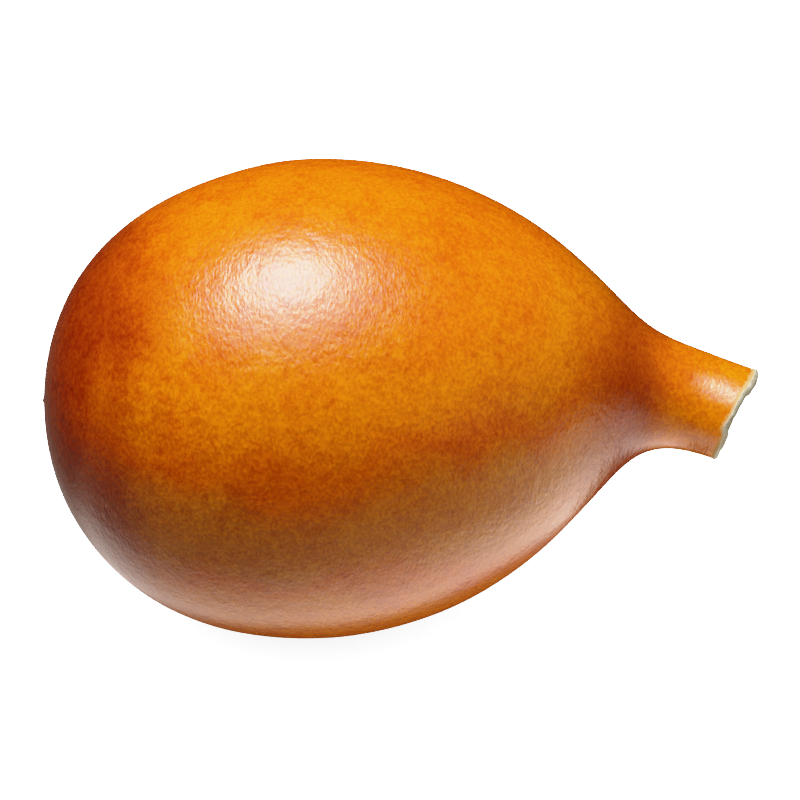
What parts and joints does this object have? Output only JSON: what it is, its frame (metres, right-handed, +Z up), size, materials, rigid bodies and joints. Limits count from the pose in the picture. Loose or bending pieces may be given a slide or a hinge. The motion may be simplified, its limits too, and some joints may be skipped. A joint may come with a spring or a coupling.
{
  "type": "dried bottle gourd",
  "caption": "Hollow dried bottle gourd lying on its side: an egg-shaped woody bulb that draws in to a short bent neck, cut open, with a glossy amber skin.",
  "frame": {"origin": "on the surface that the gourd rests on, under the middle of its bounding box", "axes": "+X runs along the gourd from the blossom end to the cut neck, +Y to the back, +Z up"},
  "size_m": [0.1652, 0.1108, 0.1095],
  "materials": {
    "gourd_skin": "mottled amber skin under a clear glossy varnish, with a bare pale rim at the cut"
  },
  "bodies": {
    "root": {"gourd_shell": "gourd_skin"}
  },
  "joints": []
}
